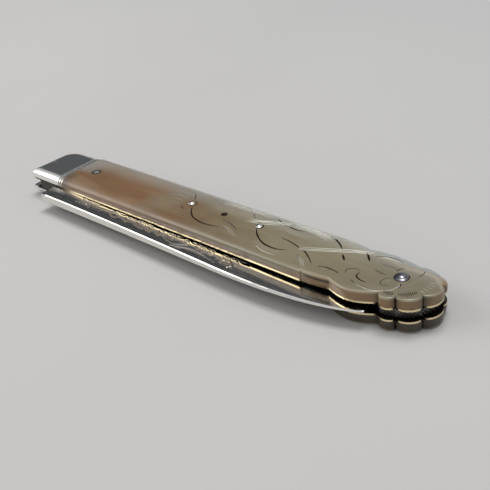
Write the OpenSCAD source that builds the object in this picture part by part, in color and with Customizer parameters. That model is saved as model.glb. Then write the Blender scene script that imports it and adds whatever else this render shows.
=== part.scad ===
// Folding pen knife with pearl scales, silver bolsters and a shell-shaped end, shown closed.
// It lies on its rear side. The origin is on the underside, on the handle's centre line,
// level with the blade's pivot. +X runs to the shell end, -Y is the mouth where the blade
// swings out, +Z is up. Sizes are in millimetres.

/* [Handle] */
// Overall length of the closed handle
handle_len = 87.7; // [80:0.1:100]
// Width of the handle at the bolster end
width_bolster = 11.4; // [10.6:0.1:12.2]
// Width of the handle just before the waist
width_waist = 12.3; // [11.8:0.1:13]
// Width of the slot between the two liners
slot_t = 1.7; // [1.5:0.05:2.2]
// Thickness of each brass liner
liner_t = 0.3; // [0.2:0.05:0.5]
// Thickness of each scale and each bolster
scale_t = 1.65; // [1.5:0.05:2.4]

/* [Rounded edges] */
// How far in the scale's edge is rounded beside the bolster
round_w_bolster = 2.3; // [1.5:0.1:3]
// How far in the scale's edge is rounded at the shell, on the side of the mouth
round_w_shell = 0.6; // [0.3:0.1:1]
// How far in the worn edge at the back slopes down at the shell
round_w_back = 4; // [2.5:0.1:4.2]
// Height of the plain side below the rounding beside the bolster
side_h_bolster = 0.15; // [0.05:0.05:0.5]
// Height of the plain side below the rounding at the shell, on the side of the mouth
side_h_shell = 1.2; // [0.9:0.05:1.35]
// Height of that side at the back
side_h_back = 0.2; // [0.05:0.05:0.5]
// Fullness of the worn edge at the back: 2 is an ellipse, 1 a straight slope
back_fullness = 1.5; // [1.2:0.1:2]

/* [Bolster] */
// Length of each bolster
bolster_len = 10; // [9:0.5:12]
// How far in the bolster's free end is rounded
bolster_end_round = 2; // [1.2:0.1:2.6]
// How far in its edge at the mouth is rounded
mouth_round = 1.9; // [1.4:0.1:2.6]
// How far in its worn edge at the back is rounded
back_round = 2.6; // [1.8:0.1:3]
// Radius of its corner at the mouth, seen from above
mouth_corner_r = 0.4; // [0.2:0.1:1.6]
// Radius of its corner at the back
back_corner_r = 3.2; // [0.8:0.1:4]
// Width of each of the two grooves beside the scale
groove_w = 0.25; // [0.15:0.05:0.4]
// Depth of those grooves
groove_depth = 0.14; // [0.08:0.02:0.2]
// Width of the bead between the grooves and of the one beside the scale
bead_w = 0.35; // [0.25:0.05:0.5]

/* [Waist and shell] */
// Middle of the shell, measured back from the tips of its end lobes
shell_reach = 6.4; // [6:0.1:7]
// Distance of the shell's middle from the centre line, towards the back
shell_y = 0.1; // [0:0.05:0.5]
// Half width of the shell from its middle to the lobes at the mouth
shell_half_w = 5.55; // [5.2:0.05:6]
// Half width of the shell from its middle to the worn lobe at the back
shell_half_back = 5.5; // [5:0.05:5.7]
// Angle that the shell's long axis is turned towards the back
shell_turn = 12; // [0:1:16]
// Angle of the shell's first notch, at the mouth, from the handle's length
mouth_notch_a = -98; // [-102:1:-95]
// Angle of its second notch
second_notch_a = -68; // [-72:1:-64]
// Angle of its third notch
third_notch_a = -26; // [-30:1:-22]
// Angle of its fourth notch
fourth_notch_a = 16; // [12:1:20]
// Angle of its fifth notch
fifth_notch_a = 50; // [46:1:54]
// Angle of its last notch, at the back
back_notch_a = 88; // [84:1:92]
// Height of a lobe above the notches beside it
lobe_h = 0.75; // [0.4:0.05:1]
// Height of the worn lobe at the back above its notches
lobe_h_back = 0.3; // [0.2:0.05:0.75]
// Distance from the shell's middle back to the corner where the waist starts
waist_back = 13.2; // [12:0.1:15]
// Distance from the shell's middle back to the sharp nick of the waist
nick_back = 8.4; // [8:0.1:9.4]
// Width of the handle at the nick
width_nick = 11.2; // [10.8:0.1:11.6]
// Step in at the corner where the waist starts
waist_step = 0.12; // [0.05:0.01:0.2]
// Bulge of the edge between that corner and the nick
waist_bulge = 0.12; // [0:0.02:0.2]
// Height of the swelling between the nick and the first lobe, at the mouth
swell_h = 1.2; // [0.8:0.05:1.3]
// Height of the worn swelling at the back
swell_h_back = 0.6; // [0.3:0.05:1.1]

/* [Pivot] */
// Distance of the pivot axis from the bolster's free end
pivot_inset = 5.1; // [4.9:0.1:5.4]
// Distance of the pivot axis from the centre line, towards the mouth
pivot_drop = 1.3; // [1.1:0.05:1.5]
// Diameter of the pivot pin
pivot_d = 2; // [1.6:0.1:2.4]
// Thickness of silver left over each riveted end of the pivot pin
pivot_cover = 0.35; // [0.25:0.05:0.6]
// Radial clearance of the blade on the pin
pivot_play = 0.04; // [0.02:0.01:0.08]

/* [Blade] */
// Clearance on each side of the tang in the slot
tang_play = 0.05; // [0.03:0.01:0.1]
// Radius of the tang's round back, which passes under the spring
tang_r = 5; // [4.8:0.05:5.1]
// Gap between the tang's round back and the spring
tang_gap = 0.05; // [0.03:0.01:0.1]
// Distance of the tang's end from the bolster's free end
tang_end_inset = 0.5; // [0.3:0.1:0.9]
// Distance from the pivot to the square shoulder on the blade's back
shoulder_x = 2.7; // [2.5:0.1:3]
// Distance from the pivot to the end of the flat part of the blade beside the tang
ricasso_x = 9; // [8.5:0.5:12]
// Depth that the ground faces lie below that flat part
grind_step = 0.02; // [0.01:0.01:0.05]
// Distance of the blade's back from the centre line at the shoulder
back_y_shoulder = 9.2; // [8.8:0.1:9.6]
// Distance of the blade's back from the centre line at its widest
back_y_belly = 9.95; // [9.7:0.05:10.4]
// Place of that widest stretch, from the pivot
back_x_belly = 50; // [46:1:54]
// Distance of the cutting edge from the centre line, in the slot
edge_y = 0.9; // [0.7:0.1:1.2]
// Length of the curve where the edge turns up to the point
edge_curve_len = 18; // [14:1:22]
// Distance of the point back from the shell's middle
point_back = 2; // [1.8:0.1:3.5]
// Distance of the point from the centre line
point_y = 6.5; // [6.2:0.1:6.9]
// Thickness of the blade's back near the point
back_t_point = 0.3; // [0.25:0.02:0.6]
// Thickness of the cutting edge
edge_t = 0.16; // [0.1:0.02:0.24]
// Height of the kick that rests against the spring
kick_h = 2.2; // [1.8:0.1:2.4]
// Distance from the pivot to the kick
kick_x = 6.2; // [5.9:0.1:6.4]
// Width of the kick's foot
kick_w = 1.6; // [1.2:0.1:1.8]

/* [Spring] */
// Depth of the spring along the middle of the handle
spring_depth = 3.6; // [3:0.1:4]
// Distance of the spring's pin from the pivot
spring_pin_x = 42; // [40:0.5:44]
// Distance of that pin and of the scale pins from the centre line, towards the back
spring_pin_y = 0.5; // [0.4:0.1:0.9]
// Radius of the spring's boss round that pin
spring_boss_r = 1.15; // [1:0.05:1.25]
// Length of the slope on each side of the boss
boss_slope = 5; // [3:0.5:8]
// Gap between the open blade's shoulder and the spring's end
stop_gap = 0.06; // [0.03:0.01:0.12]
// How far the checkered block lies inside the shell's notches
block_inset = 0.25; // [0.1:0.05:0.6]
// Length of the slope from the spring down to the block
block_slope = 13.7; // [12:0.1:16]
// Spacing of the checkering on the block
check_pitch = 0.75; // [0.6:0.05:1]
// Width of one cut of the checkering
check_w = 0.2; // [0.1:0.02:0.3]
// Depth of the checkering on the block
check_depth = 0.14; // [0.1:0.02:0.25]

/* [Pins] */
// Diameter of the pins near the bolster
ring_pin_d = 1.1; // [1:0.05:1.4]
// Diameter of the collar round each of them
ring_collar_d = 1.9; // [1.7:0.1:2.2]
// Distance of these pins from the joint between bolster and scale
ring_pin_back = 4; // [3:0.5:5]
// Diameter of the small domed scale pins
scale_pin_d = 1.15; // [0.9:0.05:1.4]
// Distance of the nearer domed pins from the pivot
near_pin_x = 34.2; // [30:0.1:38]
// Distance of the farther domed pins from the pivot
far_pin_x = 49.5; // [46:0.1:54]
// Height of their small domes above the front scale
scale_dome_h = 0.2; // [0.1:0.05:0.35]
// Diameter of the spring's steel pin
spring_pin_d = 1.2; // [1:0.05:1.3]
// How far that pin's ends lie below the scales
spring_pin_sink = 0.2; // [0.1:0.05:0.4]
// Diameter of the rivet through the shell
shell_rivet_d = 1.4; // [1.1:0.1:1.6]
// Diameter of the rosettes under its heads
rosette_d = 2.1; // [2:0.1:2.8]
// Height of the front rosette's dome above the scale
rosette_h = 0.3; // [0.2:0.05:0.4]
// Height of the rivet's own dome above the scale
rivet_dome_h = 0.45; // [0.42:0.01:0.6]
// Depth that rosettes and collars are let into the scale
seat_depth = 0.3; // [0.2:0.05:0.5]
// Radial clearance of a pin in its hole
pin_fit = 0.02; // [0.01:0.005:0.04]

/* [Hidden] */
$fn = 64;
eps = 0.01;
over = 1;

// Heights of the faces, from the underside up
z_rear_liner = scale_t;
z_slot = z_rear_liner + liner_t;
z_front_liner = z_slot + slot_t;
z_front_scale = z_front_liner + liner_t;
z_top = z_front_scale + scale_t;
z_mid = z_slot + slot_t / 2;

// Places along and across the handle
x_end = -pivot_inset;
x_joint = x_end + bolster_len;
x_shell = x_end + handle_len - shell_reach;
x_waist = x_shell - waist_back;
x_nick = x_shell - nick_back;
x_ring_pin = x_joint + ring_pin_back;
y_pivot = -pivot_drop;
y_mouth = -width_bolster / 2;

function mix(a, b, t) = a + (b - a) * t;
function along(x, x0, x1) = max(0, min(1, (x - x0) / (x1 - x0)));

// Half width of the straight stretch of the handle at x
function half_w(x) = mix(width_bolster, width_waist, (x - x_end) / (x_waist - x_end)) / 2;

// The shell: lobes between notches that lie on an oval round its middle
notches = [mouth_notch_a, second_notch_a, third_notch_a, fourth_notch_a, fifth_notch_a, back_notch_a];
lobe_steps = 8;
lobe_fullness = 0.55;
shell_steps = (len(notches) - 1) * lobe_steps;
function half_across(b) = b < 0 ? shell_half_w : shell_half_back;
function oval(a) = let (b = a - shell_turn)
    1 / sqrt(pow(cos(b) / shell_reach, 2) + pow(sin(b) / half_across(b), 2));
function notch_depth(a) = mix(lobe_h, lobe_h_back, along(a, third_notch_a, fifth_notch_a));
function lobe_rise(i) = pow(max(0, sin(180 * (i % lobe_steps) / lobe_steps)), lobe_fullness);
function ray(a, r) = [x_shell + r * cos(a), shell_y + r * sin(a)];
function shell_a(i) = let (k = min(floor(i / lobe_steps), len(notches) - 2))
    mix(notches[k], notches[k + 1], i / lobe_steps - k);
function shell_point(i) = let (a = shell_a(i)) ray(a, oval(a) - notch_depth(a) * (1 - lobe_rise(i)));
shell_points = [for (i = [shell_steps:-1:0]) shell_point(i)];

// The waist and the swelling on one side, from the corner to the notch: side is 1 at the back
waist_steps = 3;
swell_steps = 10;
function waist_point(t) = [mix(x_waist + waist_step, x_nick, t),
    mix(width_waist / 2 - waist_step, width_nick / 2, t) + 4 * waist_bulge * t * (1 - t)];
function swell_point(t, notch, h) = [mix(x_nick, notch[0], t),
    mix(width_nick / 2, abs(notch[1]), t) + h * sin(180 * t)];
function edge_line(notch, side, h) = [for (p = concat(
    [[x_waist, half_w(x_waist)]],
    [for (i = [0:waist_steps]) waist_point(i / waist_steps)],
    [for (i = [1:swell_steps - 1]) swell_point(i / swell_steps, notch, h)]
)) [p[0], side * p[1]]];
back_edge = edge_line(shell_points[0], 1, swell_h_back);
mouth_line = edge_line(shell_points[shell_steps], -1, swell_h);
mouth_edge = [for (i = [len(mouth_line) - 1:-1:0]) mouth_line[i]];

// Outline of the handle from x0 to the shell: back edge, shell, edge at the mouth
function outline(x0) = concat([[x0, half_w(x0)]], back_edge, shell_points, mouth_edge, [[x0, -half_w(x0)]]);

// Point of a scale's rounded edge: p lies on the outline, a is the angle along the rounding
function share(p) = along(p[0], x_joint, x_shell);
function to_back(p) = along(p[1], shell_y, shell_y + shell_half_back - lobe_h_back);
function round_w(p) = mix(round_w_bolster, mix(round_w_shell, round_w_back, to_back(p)), share(p));
function side_h(p) = mix(side_h_bolster, mix(side_h_shell, side_h_back, to_back(p)), share(p));
function fullness(p) = mix(2, back_fullness, share(p) * to_back(p));
function inward(p) = let (d = [x_shell - p[0], shell_y - p[1]])
    p[0] > x_shell ? d / norm(d) : [0, -sign(p[1])];
function edge_point(p, a) = let (
    h = side_h(p),
    bend = 2 / fullness(p),
    q = p + inward(p) * round_w(p) * (1 - pow(cos(a), bend))
) [q[0], q[1], h + (scale_t - h) * pow(sin(a), bend)];

// Straight pin or hole along Z
module rod(x, y, z0, z1, d) {
    translate([x, y, z0]) cylinder(h = z1 - z0, d = d);
}

// Hole for a pin of diameter d
module hole(x, y, z0, z1, d) {
    rod(x, y, z0, z1, d + 2 * pin_fit);
}

// Low dome of diameter d and height h on the plane z
module dome(x, y, z, d, h) {
    r = (d * d / 4 + h * h) / (2 * h);
    translate([x, y, z]) intersection() {
        translate([0, 0, h - r]) sphere(r = r);
        cylinder(h = h + over, d = d + over);
    }
}

// Copies what it is given to the rear side, upside down about the middle of the slot
module rear_side() {
    translate([0, 0, 2 * z_mid]) mirror([0, 0, 1]) children();
}

// Holes that each scale and each liner has, over its whole height
module pin_holes(z0, z1) {
    hole(x_ring_pin, 0, z0, z1, ring_pin_d);
    hole(near_pin_x, spring_pin_y, z0, z1, scale_pin_d);
    hole(far_pin_x, spring_pin_y, z0, z1, scale_pin_d);
    hole(spring_pin_x, spring_pin_y, z0, z1, spring_pin_d);
    hole(x_shell, shell_y, z0, z1, shell_rivet_d);
}

// Flat face over a ring of the outline: strips across the handle, then a fan round the shell's middle
first_shell = len(back_edge) + 1;
function flat_faces(ring_start, n, middle) = concat(
    [for (i = [0:first_shell - 1]) [i, i + 1, n - 2 - i, n - 1 - i] + ring_start * [1, 1, 1, 1]],
    [for (i = [first_shell:n - 2 - first_shell]) [middle, ring_start + i, ring_start + i + 1]],
    [[middle, ring_start + n - 1 - first_shell, ring_start + first_shell]]
);
function turned(faces) = [for (face = faces) [for (i = [len(face) - 1:-1:0]) face[i]]];
function walls(rings, n) = [for (k = [0:rings - 2]) for (i = [0:n - 1]) for (f = [0, 1])
    let (j = (i + 1) % n, a = k * n, b = a + n) f == 0 ? [a + i, b + i, b + j] : [a + i, b + j, a + j]];

// Scale without its holes, its flat inner face on the liner and its edge rounded in bands.
// Side is 1 at the front and -1 at the rear.
bands = 6;
module scale_block(side) {
    ring = outline(x_joint);
    n = len(ring);
    last_ring = bands * n;
    inner = slot_t / 2 + liner_t;
    levels = concat([for (p = ring) [p[0], p[1], 0]],
        [for (k = [0:bands - 1]) for (p = ring) edge_point(p, 90 * k / (bands - 1))],
        [[x_shell, shell_y, 0], [x_shell, shell_y, scale_t]]);
    faces = concat(turned(flat_faces(0, n, last_ring + n)), flat_faces(last_ring, n, last_ring + n + 1),
        walls(bands + 1, n));
    polyhedron(
        points = [for (p = levels) [p[0], p[1], z_mid + side * (inner + p[2])]],
        faces = side > 0 ? faces : turned(faces)
    );
}

// Holes and seats of the front scale
module scale_holes() {
    pin_holes(z_front_scale - over, z_top + over);
    hole(x_ring_pin, 0, z_top - seat_depth, z_top + over, ring_collar_d);
    hole(x_shell, shell_y, z_top - seat_depth, z_top + over, rosette_d);
}

module front_scale() {
    color("#93876e") difference() {
        scale_block(1);
        scale_holes();
    }
}

module rear_scale() {
    color("#8d8069") difference() {
        scale_block(-1);
        rear_side() scale_holes();
    }
}

// Free end seen from above: its corner at the mouth, then its corner at the back
corner_steps = 6;
function corner(side, r) = [for (i = [0:corner_steps]) let (a = -135 - 45 * side - 90 * i / corner_steps)
    [x_end + r + r * cos(a), side * (half_w(x_end) - r) + r * sin(a)]];
free_end = concat(corner(-1, mouth_corner_r), corner(1, back_corner_r));

// Liner of the front side
module liner_body() {
    translate([0, 0, z_front_liner]) difference() {
        linear_extrude(liner_t) polygon(concat(outline(x_joint), free_end));
        pin_holes(-over, liner_t + over);
        hole(0, y_pivot, -over, liner_t + over, pivot_d);
    }
}

module front_liner() {
    color("#d9bd7c") liner_body();
}

module rear_liner() {
    color("#d2b676") rear_side() liner_body();
}

// Point of the bolster's rounded edge: p lies on its outline, a is the angle along the rounding
function bolster_point(p, a) = let (
    w = half_w(x_end),
    t = along(p[1], -w, w),
    bend = 2 / mix(2, back_fullness, t),
    sunk = 1 - pow(cos(a), bend),
    h = side_h_bolster
) [mix(p[0], x_joint, sunk * bolster_end_round / bolster_len),
    p[1] * (1 - sunk * mix(mouth_round, back_round, t) / w),
    h + (scale_t - h) * pow(sin(a), bend)];

// Bolster without its grooves and its hole
round_steps = 9;
module bolster_block() {
    ring = concat([[x_joint, -half_w(x_joint)]], free_end, [[x_joint, half_w(x_joint)]]);
    n = len(ring);
    rings = round_steps + 2;
    polyhedron(
        points = concat([for (p = ring) [p[0], p[1], 0]],
            [for (k = [0:round_steps]) for (p = ring) bolster_point(p, 90 * k / round_steps)]),
        faces = concat([[for (i = [n - 1:-1:0]) i], [for (i = [0:n - 1]) (rings - 1) * n + i]],
            walls(rings, n))
    );
}

// Bar with the bolster's section at the joint from x0 to x1, smaller all round by cut
function section_side(side, cut) = let (w = half_w(x_joint)) concat([[side * (w - cut), 0]],
    [for (k = [0:round_steps]) let (q = bolster_point([x_joint, side * w], 90 * k / round_steps))
        [q[1] * (1 - cut / w), q[2] * (1 - cut / scale_t)]]);
module section_bar(x0, x1, cut) {
    back = section_side(1, cut);
    translate([x0, 0, 0]) rotate([90, 0, 90]) linear_extrude(x1 - x0)
        polygon(concat(section_side(-1, cut), [for (i = [len(back) - 1:-1:0]) back[i]]));
}

// Groove round the bolster that starts at x
module bolster_groove(x) {
    difference() {
        translate([x, -width_waist, side_h_bolster]) cube([groove_w, 2 * width_waist, scale_t + over]);
        section_bar(x - over, x + groove_w + over, groove_depth);
    }
}

// Bolster of the front side, with one bead between its grooves and one beside the scale
module bolster_body() {
    translate([0, 0, z_front_scale]) difference() {
        bolster_block();
        for (k = [1, 2]) bolster_groove(x_joint - k * (bead_w + groove_w));
        hole(0, y_pivot, -over, scale_t - pivot_cover, pivot_d);
    }
}

module front_bolster() {
    color("#c9c9cc") bolster_body();
}

module rear_bolster() {
    color("#c2c2c6") rear_side() bolster_body();
}

// Blade: its back and its edge are curves of x that meet at the point
blade_steps = 28;
back_bend = 2.6;
back_fall = 0.8;
edge_bend = 2.2;
taper_bend = 1.7;
tang_t = slot_t - 2 * tang_play;
x_point = x_shell - point_back;
x_edge_curve = x_point - edge_curve_len;
kick_top = kick_h - edge_y;
neck_x = tang_r / 2;
function blade_x(i) = mix(shoulder_x, x_point, sin(90 * i / blade_steps));
function back_y(x) = x < back_x_belly
    ? mix(back_y_shoulder, back_y_belly, 1 - cos(90 * along(x, shoulder_x, back_x_belly)))
    : mix(point_y, back_y_belly, pow(1 - pow(along(x, back_x_belly, x_point), back_bend), back_fall));
function front_y(x) = mix(point_y, edge_y, sqrt(1 - pow(along(x, x_edge_curve, x_point), edge_bend)));

// Blade, neck and kick from above
blade_outline = concat(
    [for (i = [0:blade_steps]) [blade_x(i), -back_y(blade_x(i))]],
    [for (i = [blade_steps - 1:-1:0]) if (blade_x(i) > x_edge_curve) [blade_x(i), -front_y(blade_x(i))]],
    [[x_edge_curve, -edge_y], [kick_x + kick_w, -edge_y], [kick_x + kick_w, kick_h / 3 - edge_y],
        [kick_x + kick_w / 2, kick_top], [kick_x, kick_top], [neck_x, kick_top], [0, y_pivot],
        [0, y_mouth], [shoulder_x, y_mouth]]
);

// Round tang with one flat at the mouth and one at the handle's end
module tang_plan() {
    intersection() {
        translate([0, y_pivot]) circle(r = tang_r);
        translate([x_end + tang_end_inset, y_mouth]) square(3 * tang_r);
    }
}

// Height of a ground face over the blade's middle at x and a distance y from the centre line
function taper(x) = pow(along(x, shoulder_x, x_point), taper_bend);
function back_half(x) = mix(tang_t / 2 - grind_step, back_t_point / 2, taper(x));
function ground_z(x, y) = mix(edge_t / 2, back_half(x), (y - edge_y) / (back_y(x) - edge_y));

// What the grinding takes off one side, from the flat part to past the point
module grinding() {
    steps = 14;
    y0 = edge_y - over / 2;
    rows = [for (i = [0:steps]) let (x = mix(ricasso_x, x_point + over, i / steps), y1 = back_y(x) + over)
        [[x, -y1, ground_z(x, y1)], [x, -y0, ground_z(x, y0)], [x, -y0, tang_t], [x, -y1, tang_t]]];
    walls = [for (i = [0:steps - 1]) for (k = [0:3]) for (f = [0, 1])
        let (b = 4 * i, c = b + 4, m = (k + 1) % 4) f == 0 ? [b + k, c + m, b + m] : [b + k, c + k, c + m]];
    last = 4 * steps;
    polyhedron(points = [for (row = rows) for (p = row) p],
        faces = concat([[0, 1, 2, 3], [last + 3, last + 2, last + 1, last]], walls));
}

module blade() {
    color("#b9bbc0") translate([0, 0, z_mid]) difference() {
        translate([0, 0, -tang_t / 2]) linear_extrude(tang_t) {
            polygon(blade_outline);
            tang_plan();
        }
        grinding();
        mirror([0, 0, 1]) grinding();
        rod(0, y_pivot, -over, over, pivot_d + 2 * pivot_play);
    }
}

// Spring along the back, from its free end over the tang to the checkered block in the shell
spring_end_x = stop_gap - shoulder_x;
spring_tang_y = y_pivot + tang_r + tang_gap;
spring_in_y = half_w(spring_pin_x) - spring_depth;
rest_y = kick_top + tang_gap;
rest_x = kick_x - tang_gap - over / 2;
rest_end_x = kick_x + kick_w + over;
block_points = [for (i = [0:2:shell_steps]) let (a = shell_a(i)) ray(a, block_r(a))];
function block_r(a) = oval(a) - notch_depth(a) - block_inset;

module spring_plan() {
    polygon(concat(
        [[spring_end_x, half_w(spring_end_x)], [spring_end_x, spring_tang_y], [rest_x - over, spring_tang_y],
            [rest_x, rest_y], [rest_end_x, rest_y], [rest_end_x + over, spring_in_y],
            [x_shell - block_slope, spring_in_y]],
        block_points,
        [for (i = [len(back_edge) - 1:-1:0]) back_edge[i]]
    ));
    translate([spring_pin_x, spring_pin_y]) circle(r = spring_boss_r);
    polygon([[spring_pin_x - boss_slope, spring_in_y + eps], [spring_pin_x - spring_boss_r, spring_pin_y],
        [spring_pin_x + spring_boss_r, spring_pin_y], [spring_pin_x + boss_slope, spring_in_y + eps]]);
}

// Crossed cuts on the block's edge between the two liners
check_step = check_pitch / shell_half_w * 180 / PI;
module checkering() {
    for (a = [mouth_notch_a + check_step:check_step:back_notch_a - check_step]) for (slant = [-45, 45])
        translate(concat(ray(a, block_r(a)), 0)) rotate([0, 0, a]) rotate([slant, 0, 0])
            cube([2 * check_depth, check_w, 2 * slot_t], center = true);
}

module back_spring() {
    color("#8f8c86") difference() {
        translate([0, 0, z_slot]) linear_extrude(slot_t) spring_plan();
        translate([0, 0, z_mid]) checkering();
        hole(spring_pin_x, spring_pin_y, z_slot - over, z_front_liner + over, spring_pin_d);
        hole(x_shell, shell_y, z_slot - over, z_front_liner + over, shell_rivet_d);
    }
}

// Pins and rivets
module pivot_pin() {
    color("#a8a8ac") rod(0, y_pivot, pivot_cover + pin_fit, z_top - pivot_cover - pin_fit, pivot_d);
}

module spring_pin() {
    color("#4a4643") rod(spring_pin_x, spring_pin_y, spring_pin_sink, z_top - spring_pin_sink, spring_pin_d);
}

module shell_rivet() {
    color("#d8d8da") {
        rod(x_shell, shell_y, 0, z_top + rosette_h, shell_rivet_d);
        dome(x_shell, shell_y, z_top + rosette_h, shell_rivet_d, rivet_dome_h - rosette_h);
    }
}

module front_rosette() {
    color("#cfcfd2") difference() {
        union() {
            rod(x_shell, shell_y, z_top - seat_depth, z_top, rosette_d);
            dome(x_shell, shell_y, z_top, rosette_d, rosette_h);
        }
        hole(x_shell, shell_y, 0, z_top + over, shell_rivet_d);
    }
}

module rear_rosette() {
    color("#cfcfd2") difference() {
        rod(x_shell, shell_y, 0, seat_depth, rosette_d);
        hole(x_shell, shell_y, -over, seat_depth + over, shell_rivet_d);
    }
}

// Short pin through the front scale and its liner, flush at both ends
module short_pin(x, y, d) {
    rod(x, y, z_front_liner + pin_fit, z_top, d);
}

module front_ring_pin() {
    color("#dcdcde") short_pin(x_ring_pin, 0, ring_pin_d);
}

module rear_ring_pin() {
    color("#dcdcde") rear_side() short_pin(x_ring_pin, 0, ring_pin_d);
}

module collar() {
    difference() {
        rod(x_ring_pin, 0, z_top - seat_depth, z_top, ring_collar_d);
        hole(x_ring_pin, 0, 0, z_top + over, ring_pin_d);
    }
}

module front_collar() {
    color("#8c8a86") collar();
}

module rear_collar() {
    color("#8c8a86") rear_side() collar();
}

module domed_pin(x) {
    short_pin(x, spring_pin_y, scale_pin_d);
    dome(x, spring_pin_y, z_top, scale_pin_d, scale_dome_h);
}

module front_near_pin() {
    color("#d4d4d6") domed_pin(near_pin_x);
}

module front_far_pin() {
    color("#d4d4d6") domed_pin(far_pin_x);
}

module rear_near_pin() {
    color("#d4d4d6") rear_side() short_pin(near_pin_x, spring_pin_y, scale_pin_d);
}

module rear_far_pin() {
    color("#d4d4d6") rear_side() short_pin(far_pin_x, spring_pin_y, scale_pin_d);
}

front_scale();
rear_scale();
front_liner();
rear_liner();
front_bolster();
rear_bolster();
blade();
back_spring();
pivot_pin();
spring_pin();
shell_rivet();
front_rosette();
rear_rosette();
front_ring_pin();
rear_ring_pin();
front_collar();
rear_collar();
front_near_pin();
front_far_pin();
rear_near_pin();
rear_far_pin();
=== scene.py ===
# %% [markdown]
# # A folding pen knife with engraved pearl scales
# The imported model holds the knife's solids. This lesson dresses them: it rebuilds the pieces whose
# surface carries engraving or a soft polish, gives every other piece a worked finish, and sets
# the knife on a pale table in soft light.

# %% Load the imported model
import math

import bpy
import numpy as np
from mathutils import Matrix, Vector
from mathutils.geometry import delaunay_2d_cdt


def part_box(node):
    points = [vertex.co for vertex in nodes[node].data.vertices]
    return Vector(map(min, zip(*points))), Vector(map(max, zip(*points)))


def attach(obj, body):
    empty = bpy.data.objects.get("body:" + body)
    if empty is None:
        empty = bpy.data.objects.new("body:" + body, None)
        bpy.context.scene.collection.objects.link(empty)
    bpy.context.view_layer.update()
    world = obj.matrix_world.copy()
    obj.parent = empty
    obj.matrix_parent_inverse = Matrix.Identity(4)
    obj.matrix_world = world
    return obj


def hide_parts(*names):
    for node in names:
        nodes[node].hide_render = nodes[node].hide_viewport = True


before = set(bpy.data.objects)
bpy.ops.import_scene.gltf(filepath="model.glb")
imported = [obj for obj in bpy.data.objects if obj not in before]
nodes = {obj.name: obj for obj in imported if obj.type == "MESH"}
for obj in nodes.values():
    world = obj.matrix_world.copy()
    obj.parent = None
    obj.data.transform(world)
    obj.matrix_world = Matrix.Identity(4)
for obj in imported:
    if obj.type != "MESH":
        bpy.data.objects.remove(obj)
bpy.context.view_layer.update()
MM = 0.001
print("pieces in the frame:", len(nodes))

# %% [markdown]
# ## The camera
# The knife lies in front of the camera and points away to the right. A camera is placed most
# safely by its axes: where its right, its up and its back point. They were worked out from the
# knife's straight edges, so the knife fills the frame as it does in the photograph.

# %% Place the camera
CAMERA_PLACE = Vector((124.57, -77.86, 67.98)) * MM
CAMERA_RIGHT = Vector((0.7464, 0.6567, -0.1079))
CAMERA_UP = Vector((-0.2747, 0.4517, 0.8488))
CAMERA_BACK = Vector((0.6062, -0.6039, 0.5175))
SENSOR_WIDTH = 36
LENS = 57.245

camera_data = bpy.data.cameras.new("camera")
camera_data.sensor_width = SENSOR_WIDTH
camera_data.lens = LENS
camera_data.clip_start = 0.005
camera_data.clip_end = 20
camera = bpy.data.objects.new("camera", camera_data)
bpy.context.scene.collection.objects.link(camera)
turn = Matrix((CAMERA_RIGHT, CAMERA_UP, CAMERA_BACK)).transposed().to_4x4()
camera.matrix_world = Matrix.Translation(CAMERA_PLACE) @ turn
bpy.context.scene.camera = camera
bpy.context.scene.view_settings.view_transform = "Standard"
print("camera is", round(CAMERA_PLACE.length / MM), "mm from the origin")

# %% [markdown]
# ## Helpers for nodes
# Materials and the engraving are trees of small nodes. A few helpers keep them readable: they
# turn a written colour into the linear numbers that Blender mixes, add a node with its inputs,
# do one step of arithmetic or mixing, and read a place or a number that the mesh holds. A socket
# knows the tree that it belongs to, so most of them need no tree. The last one places an object.

# %% Helpers for node trees
def srgb(code):
    """Turns a colour such as #c8b090 into linear red, green, blue and alpha."""
    parts = [int(code[k:k + 2], 16) / 255 for k in (1, 3, 5)]
    linear = [p / 12.92 if p <= 0.04045 else ((p + 0.055) / 1.055) ** 2.4 for p in parts]
    return (*linear, 1.0)


def plug(node, inputs):
    """Links inputs of a node to sockets, or sets them to values. A colour is written as #c8b090."""
    for name, value in inputs.items():
        if isinstance(value, bpy.types.NodeSocket):
            node.id_data.links.new(value, node.inputs[name])
        else:
            is_colour = isinstance(value, str) and value.startswith("#")
            node.inputs[name].default_value = srgb(value) if is_colour else value


def add(tree, kind, inputs=None, **settings):
    """Adds a node of a kind, with its settings and its inputs. A socket can stand for its tree."""
    home = tree.id_data if isinstance(tree, bpy.types.NodeSocket) else tree
    node = home.nodes.new(kind)
    for name, value in settings.items():
        setattr(node, name, value)
    plug(node, inputs or {})
    return node


def math_node(operation, a, b=0.0, clamp=False):
    """One step of arithmetic on one or two numbers, of which at least one is a socket."""
    socket = a if isinstance(a, bpy.types.NodeSocket) else b
    return add(socket, "ShaderNodeMath", {0: a, 1: b}, operation=operation, use_clamp=clamp).outputs[0]


def product(first, *factors):
    """Multiplies a socket by one or more sockets or values."""
    for factor in factors:
        first = math_node("MULTIPLY", first, factor)
    return first


def ranged(value, low, high, to_low=0.0, to_high=1.0, kind="SMOOTHSTEP"):
    """Maps a value from one range to another and stops it at the ends."""
    inputs = {"Value": value, "From Min": low, "From Max": high, "To Min": to_low, "To Max": to_high}
    return add(value, "ShaderNodeMapRange", inputs, interpolation_type=kind).outputs[0]


def mixed(share, first, second):
    """Mixes two colours by a share."""
    return add(share, "ShaderNodeMix", {0: share, 6: first, 7: second}, data_type="RGBA").outputs[2]


def painted(tone, *coats):
    """Lays colours over a tone one after the other, each by its own mask."""
    for mask, colour in coats:
        tone = mixed(mask, tone, colour)
    return tone


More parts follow.
